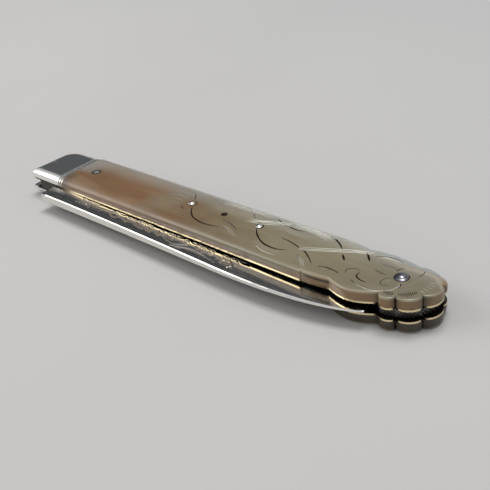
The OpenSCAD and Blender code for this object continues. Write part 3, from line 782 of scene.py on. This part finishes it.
# Width of each stroke, how dark its cut is, and the places that it passes through
PEARL_CUTS = [
    (0.14, 0.7, (26.1, 1.4), (27.8, 2.1), (29.5, 2.5), (31.9, 2.5), (34.0, 1.6)),
    (0.1, 0.6, (27.5, 0.6), (29.2, 1.3), (31.2, 1.5), (33.4, 1.0)),
    (0.12, 0.8, (28.6, 3.2), (30.4, 3.6), (32.2, 3.4), (33.6, 2.4)),
    (0.09, 0.6, (29.6, 0.2), (31.0, 0.5), (32.6, 0.2)),
    (0.1, 0.7, (30.3, -0.6), (31.8, -0.7), (32.9, -1.3)),
    (0.3, DARK, (35.2, -0.2), (35.9, -1.2), (36.9, -2.2), (38.2, -3.0), (40.4, -3.5), (42.3, -3.4),
        (44.2, -2.9)),
    (0.2, DARK, (33.4, -1.2), (34.5, -1.8)),
    (0.24, 0.9, (42.8, -0.9), (44.8, -1.2), (47.5, -2.4)),
    (0.22, 0.7, (36.5, 3.8), (39.2, 2.7), (41.3, 2.3)),
    (0.24, 0.8, (43.2, 4.9), (45.7, 3.6), (47.8, 1.7)),
    (0.34, DARK, (49.7, -0.2), (50.3, -0.9), (51.0, -1.6), (52.5, -2.7), (54.2, -3.3), (56.2, -3.4),
        (58.0, -2.8)),
    (0.14, 0.2, (52.8, -4.2), (54.9, -4.9), (57.4, -4.9)),
    (0.16, 0.7, (51.5, -1.2), (52.4, -0.9), (53.3, -0.7)),
    (0.26, DARK, (54.7, -0.4), (56.8, -0.6), (59.4, -1.3), (60.7, -1.8), (62.2, -2.8), (63.5, -3.9)),
    (0.28, DARK, (50.3, 4.3), (52.3, 3.3), (54.1, 2.9), (55.5, 2.7), (57.1, 2.9)),
    (0.34, DARK, (60.2, 4.6), (62.2, 3.8), (63.8, 2.8), (65.0, 1.7)),
    (0.34, DARK, (65.8, 0.7), (67.1, -0.7)),
    (0.36, DARK, (68.6, 3.0), (70.3, 1.1)),
    (0.22, DARK, (64.4, -4.0), (65.7, -3.5), (67.0, -3.5), (68.5, -3.8)),
    (0.18, 0.8, (60.0, -2.9), (60.9, -3.6)),
    (0.2, 0.9, (69.1, -3.5), (68.7, -2.5), (69.0, -1.8), (69.8, -1.5), (70.6, -1.8)),
    (0.24, DARK, (70.7, -1.9), (70.7, -2.9), (71.6, -3.5), (72.9, -3.6)),
    (0.2, 0.9, (70.5, -4.1), (71.5, -4.6)),
    (0.2, 0.9, (71.9, -0.2), (73.1, -0.5), (74.3, -0.6)),
    (0.22, DARK, (70.2, 2.4), (70.6, 3.1), (71.6, 3.8), (72.9, 4.1), (74.4, 3.9)),
    (0.12, PALE, (71.0, 2.9), (72.5, 3.5), (74.4, 3.3)),
    (0.1, 0.8, (72.5, 2.4), (74.0, 3.0), (75.4, 2.8)),
    (0.14, 0.9, (72.0, 1.4), (73.4, 1.5), (74.4, 1.45), (75.0, 1.1)),
    (0.18, DARK, (74.9, 0.9), (75.0, 1.6), (75.6, 2.2)),
    (0.16, 0.9, (77.9, 3.5), (78.3, 2.7), (78.3, 1.8), (78.0, 1.1)),
    (0.09, 0.6, (78.5, 0.6), (78.2, -0.8), (77.4, -2.0)),
    (0.16, 0.9, (75.6, -0.9), (74.9, -1.0), (74.4, -1.7), (74.4, -2.5), (75.0, -3.0), (76.2, -2.5)),
    (0.1, 0.6, (75.4, -1.4), (75.0, -1.8), (75.3, -2.3)),
    (0.12, 0.2, (71.6, -4.8), (74.0, -4.9), (75.6, -4.3), (76.6, -3.4), (77.0, -2.4), (76.9, -1.3)),
    (0.3, DARK, (76.8, -1.2), (77.1, -1.7), (77.4, -2.4)),
    (0.24, 0.9, (32.4, 3.5), (33.3, 2.5), (34.2, 1.3)),
]


def pearl_strokes():
    cuts = [stroke(*row) for row in PEARL_CUTS]

    def cut(*row):
        cuts.append(stroke(*row))

    for shift in (0.0, 0.35, 0.8):
        cut(0.13, PALE, (59.2, -1.9 + shift), (64.4, 0.6 + shift), (69.6, 3.2 + shift))
    for shift in (0.0, 0.45, 0.9, 1.4):
        cut(0.13, PALE, (53.8, 3.1 + shift), (57.5, 3.5 + shift), (62.0, 2.6 + shift))
    for shift in (0.0, 0.5, 1.0):
        near, far = 0.6 * shift, 0.7 * shift
        cut(0.12, PALE, (38.5, 3.6 + shift), (44.0, 4.3 + shift), (50.0, 3.3 + shift))
        cut(0.12, PALE, (46.5, 0.6 + shift), (50.5, 1.6 + shift), (54.0, 3.6 + shift))
        cut(0.08, 0.6, (51.6, -2.4 - 0.8 * shift), (54.2, -3.8 - near), (57.8, -3.9 - 0.5 * shift))
        cut(0.08, 0.5, (43.6 + shift, -2.2), (45.5 + shift, -2.8), (47.6 + shift, -4.0))
        cut(0.08, 0.4, (60.6 + near, -3.2), (61.8 + near, -4.4), (62.7 + near, -5.3))
        cut(0.08, 0.5, (52.4, 2.6 - far), (55.0, 2.1 - near), (58.6, 1.9 - far))
    cut(0.22, DARK, *[around(a, RIVET_RING) for a in range(60, -151, -15)])
    for x in PINS_X:
        turns = np.linspace(2.4, -2.2, 9)
        cut(0.2, DARK, *[(x + 0.85 * math.cos(a), PINS_Y + 0.75 * math.sin(a)) for a in turns])
    for k in range(5):
        first, second = (51.5 + 0.9 * k, 4.95 - 0.25 * k), (57.0 + 0.6 * k, 5.0 - 0.3 * k)
        cut(0.1, PALE, first, second, (62.0, 4.9 - 0.4 * k))
        cut(0.1, PALE, (39.6 + 1.5 * k, 3.0 + 0.1 * k), (42.4 + 1.5 * k, 4.4 + 0.05 * k))
    for k in range(3):
        cut(0.12, PALE, (47.2 + 0.3 * k, 0.9 + 0.35 * k), (51.2 + 0.2 * k, 2.7 + 0.3 * k))
    return cuts + flutes()


def flutes():
    """Short lines that fan out from below the rivet to the lobes at the mouth."""
    fan = []
    for low, high in zip(NOTCHES[:2], NOTCHES[1:3]):
        for angle in np.arange(low + 5, high - 4, 3.6):
            short = abs(2 * along(angle, low, high) - 1)
            start = 3.7 + 0.2 * short
            fan.append((0.12, DARK, angle, start, start + 1.3 - 0.7 * short))
    fan += [(0.08, 0.7, angle, 2.4, 3.6) for angle in range(-76, -27, 6)]
    fan += [(0.1, 0.5, angle, 3.9, 5.2) for angle in range(-20, 13, 8)]
    return [stroke(width, ink, *[around(angle, r) for r in ends]) for width, ink, angle, *ends in fan]


pearl_cuts = pearl_strokes()
pearl_guide = guide("pearl strokes", pearl_cuts)
print("strokes on the pearl:", len(pearl_cuts))

# %% [markdown]
# ## The pearl scales
# A scale is flat on top, and its edge is rounded: widely beside the bolster and along the worn
# back of the shell, narrowly at the shell's lobes. The height at any place follows from the
# distance to the edge. Rings of points follow the rounding, so no polygon shows.

# %% Build both scales
EDGE_RINGS = 12
FLAT_RING = 0.08
PIN_ROOM = 0.02
PEARL_SLOPE = 0.6
PEARL_SHARP = 22
NOTCH_DARK_REACH = 0.35
NOTCH_DARK_MOST = 0.85


def edge_line(side):
    """The outline from the bolster to the shell's middle on one side, sorted along the handle."""
    tip_side = [(x, y) for x, y in shell_edge() if x <= X_SHELL + 0.01 and y * side > 0]
    return np.array(sorted(side_edge(side) + tip_side))


BACK_LINE, MOUTH_LINE = edge_line(1), edge_line(-1)


def rounding(x, y):
    """Width, side height and power of the rounding at a place on the edge."""
    share = along(x, X_JOINT, X_SHELL)
    worn = along(y, SHELL_Y, SHELL_Y + SHELL_HALF[1] - LOBE_H[1])
    width = mix(ROUND_W[0], mix(ROUND_W[1], ROUND_W[2], worn), share)
    side = mix(SIDE_H[0], mix(SIDE_H[1], SIDE_H[2], worn), share)
    return width, side, mix(ROUND_POWER, WORN_POWER, share * worn)


def edge_place(x, y):
    """Distance from the edge, and the point of the edge that it is measured from."""
    radius = np.hypot(x - X_SHELL, y - SHELL_Y)
    angle = np.arctan2(y - SHELL_Y, x - X_SHELL)
    reach = shell_radius(np.clip(np.degrees(angle), NOTCHES[0], NOTCHES[-1]))
    side = np.where(y > 0, np.interp(x, *BACK_LINE.T), np.interp(x, *MOUTH_LINE.T))
    past = x > X_SHELL
    gap = np.where(past, reach - radius, np.abs(side - y))
    edge_x = np.where(past, X_SHELL + reach * np.cos(angle), x)
    edge_y = np.where(past, SHELL_Y + reach * np.sin(angle), side)
    return gap, edge_x, edge_y


def scale_height(x, y):
    """Height of the scale's rounded face over its flat inner face."""
    gap, edge_x, edge_y = edge_place(x, y)
    width, side, power = rounding(edge_x, edge_y)
    part = np.clip(1 - gap / width, 0, 1)
    return side + (SCALE_T - side) * (1 - part ** power) ** (1 / power)


def edge_ring(loop, angle, more=0.0):
    """Ring inside the outline where the rounding has turned by an angle."""
    ring = []
    for x, y in loop:
        width, _, power = rounding(x, y)
        inset = width * (1 - math.cos(angle) ** (2 / power)) + more
        if x > X_SHELL:
            reach = math.hypot(x - X_SHELL, y - SHELL_Y)
            ring.append((mix(x, X_SHELL, inset / reach), mix(y, SHELL_Y, inset / reach)))
        else:
            ring.append((x, y - math.copysign(inset, y)))
    return ring


def pin_loops():
    """Holes of a scale, as wide as the pins and collars that sit in them."""
    loops = []
    for name in ("front_collar", "front_near_pin", "front_far_pin", "spring_pin", "front_rosette"):
        low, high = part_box(name)
        middle = (low + high) / 2 / MM
        loops.append(circle(middle.x, middle.y, (high.x - low.x) / 2 / MM + PIN_ROOM))
    return loops


def scale_plate(name, front):
    rings = [edge_ring(outline, math.pi / 2 * k / EDGE_RINGS) for k in range(1, EDGE_RINGS + 1)]
    rings.append(edge_ring(outline, math.pi / 2, FLAT_RING))
    lines = rings + [side for cut in pearl_cuts for side in ribbon(cut)]
    return handle_plate(name, [outline] + pin_loops(), lines, scale_height, front)


def shell_notch_darkening(x, y):
    """How much darker the pearl is in the notches of the shell."""
    gap = edge_place(x, y)[0]
    angle = np.degrees(np.arctan2(y - SHELL_Y, x - X_SHELL))
    near = np.clip(1 - gap / NOTCH_DARK_REACH, 0, 1) * along(x, X_SHELL - 1.2, X_SHELL - 0.6)
    return NOTCH_DARK_MOST * near * along(lobe_dip(angle), 0.1, 0.7)


for name, front in (("front_scale", True), ("rear_scale", False)):
    piece = scale_plate(name.replace("_scale", "_pearl"), front)
    count = engrave(piece, pearl_guide, [1 if front else -1], PEARL, PEARL_SLOPE)
    mark(piece, "darkened", shell_notch_darkening)
    finish_mesh(piece, PEARL_SHARP)
    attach(piece, "handle")
    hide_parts(name)
    print(name, "faces:", count)

# %% [markdown]
# ## The bolsters
# A bolster is a silver cap, round along both sides and at its free end, with two cut grooves
# and two beads beside the pearl. Its rim shrinks towards the joint as it rises, so each place
# belongs to one step of that shrinking. Halving an interval again and again finds the step.

# %% Build both bolsters
BOLSTER_LEN = X_JOINT - X_END
BOLSTER_HALF = WIDTH_BOLSTER / 2
END_ROUND = 2.0
SIDE_ROUND = (1.9, 2.6)
CORNER_R = (0.4, 3.2)
GROOVE_W = 0.25
GROOVE_DEPTH = 0.16
BEAD_H = 0.05
BEAD_W = 0.35
BEAD_PITCH = BEAD_W + GROOVE_W
BEADED_X = X_JOINT - 2 * BEAD_PITCH
BEAD_DARKENING = 0.4
BOLSTER_SHARP = 40
BOLSTER_RINGS = 10


def to_back(y):
    """0 at the mouth side of the bolster and 1 at its back."""
    return along(y, -BOLSTER_HALF, BOLSTER_HALF)


def narrowed(y, sunk):
    """How much narrower the bolster is where its rounding has sunk inwards by a share."""
    return 1 - sunk * mix(*SIDE_ROUND, to_back(y)) / BOLSTER_HALF


def shrink(x, y, sunk):
    """Where a place of the rim lies once the rounding has sunk inwards by a share."""
    return mix(x, X_JOINT, sunk * END_ROUND / BOLSTER_LEN), y * narrowed(y, sunk)


def rim_room(x, y):
    """Distance inside the rim, whose two free corners are arcs."""
    radius = np.where(y > 0, CORNER_R[1], CORNER_R[0])
    to_end = np.maximum(radius - (x - X_END), 0)
    to_side = np.maximum(radius - (half_width(x) - np.abs(y)), 0)
    return radius - np.hypot(to_end, to_side)


def bolster_share(x, y):
    """How far the rounding has sunk inwards at a place, from 0 at the rim to 1 on the flat top,
    and the power of its curve."""
    low, high = np.zeros_like(x), np.ones_like(x)
    for _ in range(20):
        sunk = (low + high) / 2
        shrunk = sunk * END_ROUND / BOLSTER_LEN
        outer_x, outer_y = (x - shrunk * X_JOINT) / (1 - shrunk), y
        for _ in range(3):
            outer_y = y / narrowed(outer_y, sunk)
        within = rim_room(outer_x, outer_y) > 0
        low, high = np.where(within, sunk, low), np.where(within, high, sunk)
    return (low + high) / 2, mix(ROUND_POWER, WORN_POWER, to_back(outer_y))


def groove_share(x, y):
    """How deep a place lies in one of the two grooves: 1 on its floor."""
    across = ((X_JOINT - x) % BEAD_PITCH - BEAD_W) / GROOVE_W
    return np.where((across > 0) & (x > BEADED_X), np.sin(np.pi * np.clip(across, 0, 1)), 0)


def bolster_height(x, y):
    sunk, power = bolster_share(x, y)
    height = SIDE_H[0] + (SCALE_T - SIDE_H[0]) * (1 - (1 - sunk) ** power) ** (1 / power)
    bead = np.where(x > BEADED_X, np.clip(1 - (X_JOINT - x) % BEAD_PITCH / BEAD_W, 0, 1), 0)
    rounded = BEAD_H * np.where(bead > 0, (2 * bead - 1) ** 2, 0)
    lower = (GROOVE_DEPTH * groove_share(x, y) + rounded) * np.clip(height / SCALE_T, 0.2, 1)
    return np.maximum(height - lower, 0.05)


def bolster_rim(steps=14):
    """The rim from the joint at the mouth round the free end to the joint at the back."""
    rim = []
    for side, radius in zip((-1, 1), CORNER_R):
        bends = np.linspace(math.pi / 2, 0, steps)
        corner = [(X_END + radius * (1 - math.cos(a)), radius * (1 - math.sin(a))) for a in bends]
        half = [(x, half_width(x)) for x in np.linspace(X_JOINT, X_END + radius, 30)[:-1]]
        half += [(x, half_width(x) - inset) for x, inset in corner]
        rim += [(x, side * y) for x, y in (half if side < 0 else half[::-1])]
    return rim


def bolster_lines():
    """Rings of the rounding, and lines across that follow the beads and grooves."""
    rings = [1 - math.cos(math.pi / 2 * k / BOLSTER_RINGS) for k in range(1, BOLSTER_RINGS + 1)]
    lines = [[shrink(x, y, sunk) for x, y in bolster_rim()] for sunk in rings]
    for x in np.arange(BEADED_X - 0.05, X_JOINT, 0.035):
        lines.append([(x, y) for y in np.linspace(-BOLSTER_HALF, BOLSTER_HALF, 90)])
    return lines


for name, front in (("front_bolster", True), ("rear_bolster", False)):
    label = name.replace("_bolster", "_cap")
    piece = handle_plate(label, [bolster_rim()], bolster_lines(), bolster_height, front)
    piece.data.materials.append(SILVER)
    mark(piece, "cut", groove_share)
    mark(piece, "ink", lambda x, y: 0 * x + DARK)
    # The beads and grooves are darkened by a share.
    mark(piece, "darkened", lambda x, y: np.where(x > BEADED_X, BEAD_DARKENING, 0))
    finish_mesh(piece, BOLSTER_SHARP)
    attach(piece, "handle")
    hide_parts(name)
    print(name, "faces:", len(piece.data.polygons))

# %% [markdown]
# ## The blade
# The blade is thick at its back and at the tang, and thins to the edge and to the point. Both
# faces are ground slightly convex from back to edge, so they mirror the liner near the mouth
# and the dark room further out. The back's corners are broken a little and catch the light as
# one thin bright line.

# %% Shape of the blade in millimetres
TANG_T = 1.6
PIVOT_Y = -1.3
TANG_R = 5.0
SHOULDER_X = 2.7
RICASSO_X = 9.0
EDGE_Y = 0.9
POINT = (X_SHELL - 2.0, 6.5)
BELLY_X = 50.0
BACK_Y = (9.2, 9.95)
EDGE_CURVE_X = POINT[0] - 18
BORE_R = 1.04
GRIND_POWER = 2.2
CHAMFER = 0.17
CHAMFER_SLOPE = 0.7
TAPER_POWER = 1.7
POINT_HALF = 0.15
EDGE_HALF = 0.08
TANG_FLAT = (-4.6, -5.7)
NECK_TOP = 1.3
KICK = ((6.2, NECK_TOP), (7.0, NECK_TOP), (7.8, -0.17), (7.8, -EDGE_Y))


def blade_back(x):
    rise = mix(BACK_Y[0], BACK_Y[1], 1 - np.cos(np.pi / 2 * along(x, SHOULDER_X, BELLY_X)))
    fall = mix(POINT[1], BACK_Y[1], (1 - along(x, BELLY_X, POINT[0]) ** 2.6) ** 0.8)
    return np.where(x < BELLY_X, rise, fall)


def blade_front(x):
    return mix(POINT[1], EDGE_Y, np.sqrt(1 - along(x, EDGE_CURVE_X, POINT[0]) ** 2.2))


def blade_half(x, y):
    """Half thickness of the blade at a place."""
    out = np.maximum(-y, EDGE_Y)
    back = blade_back(x)
    thick = mix(TANG_T / 2 - 0.02, POINT_HALF, along(x, SHOULDER_X, POINT[0]) ** TAPER_POWER)
    share = np.clip((out - EDGE_Y) / np.maximum(back - EDGE_Y, 0.1), 0, 1)
    ground = mix(EDGE_HALF, thick, 1 - (1 - share) ** GRIND_POWER)
    half = mix(TANG_T / 2, ground, along(x, RICASSO_X - 1, RICASSO_X + 4))
    broken = np.clip(CHAMFER - (back + y), 0, CHAMFER) * CHAMFER_SLOPE
    return np.clip(half - np.where(x > SHOULDER_X + 0.05, broken, 0), 0.05, None)


def tang_arc(first, last, steps):
    """Points of the round tang between two angles."""
    turns = np.linspace(first, last, steps)
    return [(TANG_R * math.cos(a), PIVOT_Y + TANG_R * math.sin(a)) for a in turns]


def blade_loop():
    """Outline of blade, shoulder, round tang, neck and kick, from the point along the back."""
    bend = np.sin(np.linspace(0, np.pi / 2, 90))
    xs = SHOULDER_X + (POINT[0] - SHOULDER_X) * bend
    loop = [(x, -float(blade_back(x))) for x in xs[::-1]]
    flat_x, flat_y = TANG_FLAT
    loop += [(SHOULDER_X, flat_y), (-math.sqrt(TANG_R ** 2 - (flat_y - PIVOT_Y) ** 2), flat_y)]
    drop = math.sqrt(TANG_R ** 2 - flat_x ** 2)
    loop += tang_arc(math.atan2(flat_y - PIVOT_Y, loop[-1][0]), math.atan2(-drop, flat_x), 8)[1:]
    loop += tang_arc(math.atan2(drop, flat_x), math.asin((NECK_TOP - PIVOT_Y) / TANG_R), 40)
    loop += KICK
    loop += [(x, -EDGE_Y) for x in np.linspace(12, EDGE_CURVE_X, 12)]
    front = [x for x in xs if x > EDGE_CURVE_X + 0.2]
    loop += [(x, -float(blade_front(x))) for x in front[:-1]]
    return loop


print("points on the blade's outline:", len(blade_loop()))

# %% [markdown]
# ## What is engraved on the blade
# Leaves and scrolls run from the tang to the middle of the blade. A scroll is a spiral with
# leaves on its outer side, and each leaf is two curved strokes with fine hatching between them.
# Only the strip outside the mouth shows while the knife is closed, but the rest is engraved too.

# %% Strokes of the blade
LEAF_INK = 0.8
VOLUTE_R = 2.0
VOLUTE_TURNS = 1.2


def leaf(x, y, angle, length, bulge, ink=LEAF_INK, hatch=3):
    """A leaf from a root: two bowed sides and a few veins."""
    a = math.radians(angle)
    way, across = np.array([math.cos(a), math.sin(a)]), np.array([-math.sin(a), math.cos(a)])
    root = np.array([x, y])
    tip = root + way * length
    cuts = []
    for side in (-1, 1):
        middle = root + way * length * 0.5 + across * bulge * side
        cuts.append(stroke(0.17, ink, root, middle, tip))
    for k in range(hatch):
        t = (k + 1) / (hatch + 1)
        spot = root + way * length * t
        cuts.append(stroke(0.09, ink, spot, spot + (way * 0.6 + across) * bulge * 0.62))
    return cuts


def volute(x, y, start, flip):
    """A spiral that winds in from a start angle."""
    points = []
    for t in np.linspace(0, 1, 10):
        a = math.radians(start) + flip * 2 * math.pi * VOLUTE_TURNS * t
        r = VOLUTE_R * (1 - 0.78 * t)
        points.append((x + r * math.cos(a), y + r * math.sin(a)))
    return stroke(0.2, LEAF_INK, *points)


def blade_strokes():
    cuts = []

    def cut(*row):
        cuts.append(stroke(*row))

    cut(0.26, 0.15, (10.0, -6.7), (11.6, -8.2), (13.8, -9.0), (16.5, -9.2), (19.5, -8.9), (24.0, -7.2))
    for k in range(12):
        x = 11.4 + 0.85 * k
        cut(0.1, 0.7, (x, -8.0 + 0.11 * k), (x + 1.1, -6.6))
        cut(0.1, 0.5, (x, -6.4), (x + 0.9, -7.9 + 0.08 * k))
    cut(0.24, 0.3, (34.7, -6.5), (35.6, -7.5), (36.9, -8.2), (38.9, -8.3), (40.9, -7.2))
    cut(0.34, PALE, (37.8, -8.9), (39.6, -8.7), (41.9, -8.1), (44.2, -8.1), (47.5, -8.8))
    cut(0.26, DARK, (48.5, -7.4), (49.8, -7.2), (51.2, -8.0), (50.6, -8.9))
    for k in range(6):
        x = 10.5 + 7.2 * k
        flip = 1 if k % 2 else -1
        cuts.append(volute(x + 1.8, -4.6 + flip * 0.7, 180 + 20 * flip, flip))
        cuts += leaf(x + 3.4, -4.2, 20 + 12 * flip, 3.4, 0.7)
        cuts += leaf(x + 2.6, -6.2, -24, 3.2, 0.55)
        cuts += leaf(x + 4.2, -6.0, 8, 2.6, 0.5)
    for k in range(9):
        x = 24.5 + 2.9 * k
        cuts += leaf(x, -6.2 - 0.1 * (k % 3), -38 + 9 * (k % 3), 1.9, 0.42, 0.9, 2)
    return cuts


def inside_blade(cut):
    """Says whether a stroke stays clear of the blade's outline."""
    x, y = cut["line"][:, 0], cut["line"][:, 1]
    return bool((y > 0.25 - blade_back(x)).all() and (y < -EDGE_Y - 0.5).all())


blade_cuts = [cut for cut in blade_strokes() if inside_blade(cut)]
blade_guide = guide("blade strokes", blade_cuts)
print("strokes on the blade:", len(blade_cuts))

# %% Build the blade
BLADE_SLOPE = 0.45
BLADE_SHARP = 25


def blade_darkening(x, y):
    """How much darker the blade is on the tang and just after it, but not near the broken corner of the
    back.
    """
    clear_back = np.where(x < SHOULDER_X, 1, along(blade_back(x) + y, 0.2, 0.7))
    return 0.95 * (1 - along(x, 3.5, 9.0)) * clear_back


backs = np.linspace(SHOULDER_X + 0.2, POINT[0] - 0.6, 120)
blade_lines = [[(x, CHAMFER - float(blade_back(x))) for x in backs]]
for x in np.linspace(RICASSO_X - 1, RICASSO_X + 4, 6):
    blade_lines.append([(x, y) for y in np.linspace(-8.9, -1.0, 20)])
for t in (0.2, 0.45, 0.7, 0.88):
    blade_lines.append([(x, -mix(float(blade_front(x)), float(blade_back(x)), t))
                        for x in np.linspace(RICASSO_X + 0.5, POINT[0] - 1, 70)])
blade_lines += [side for cut in blade_cuts for side in ribbon(cut)]
bore = circle(0, PIVOT_Y, BORE_R)
blade_piece = plate("engraved_blade", [blade_loop(), bore], blade_lines,
                    lambda x, y: Z_MID + blade_half(x, y), lambda x, y: Z_MID - blade_half(x, y))
count = engrave(blade_piece, blade_guide, [1, -1], BLADE_SILVER, BLADE_SLOPE)
mark(blade_piece, "darkened", blade_darkening)
finish_mesh(blade_piece, BLADE_SHARP)
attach(blade_piece, "blade")
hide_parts("blade")
print("blade faces:", count)

# %% [markdown]
# ## Liners, spring and pins
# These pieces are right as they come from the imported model: thin sheets, a filed spring and
# turned pins. Only their finish is missing, so each gets its metal in its own slot.

# %% Give the carried-over pieces their finish
FINISHES = (
    (BRASS, ("front_liner", "rear_liner")),
    (STEEL, ("back_spring",)),
    (DARK_STEEL, ("spring_pin",)),
    (RIVET_SILVER, ("pivot_pin", "shell_rivet", "front_rosette", "rear_rosette")),
    (RING_SILVER, ("front_ring_pin", "rear_ring_pin")),
    (COLLAR_GREY, ("front_collar", "rear_collar")),
    (PIN_SILVER, ("front_near_pin", "front_far_pin", "rear_near_pin", "rear_far_pin")),
)
for finish, names in FINISHES:
    for name in names:
        for slot in nodes[name].material_slots:
            slot.link = "OBJECT"
            slot.material = finish
print("finished pieces:", sum(len(names) for _, names in FINISHES))

# %% [markdown]
# ## Last steps
# The guides have done their work and go.

# %% Clear up
for helper in (pearl_guide, blade_guide):
    bpy.data.objects.remove(helper)
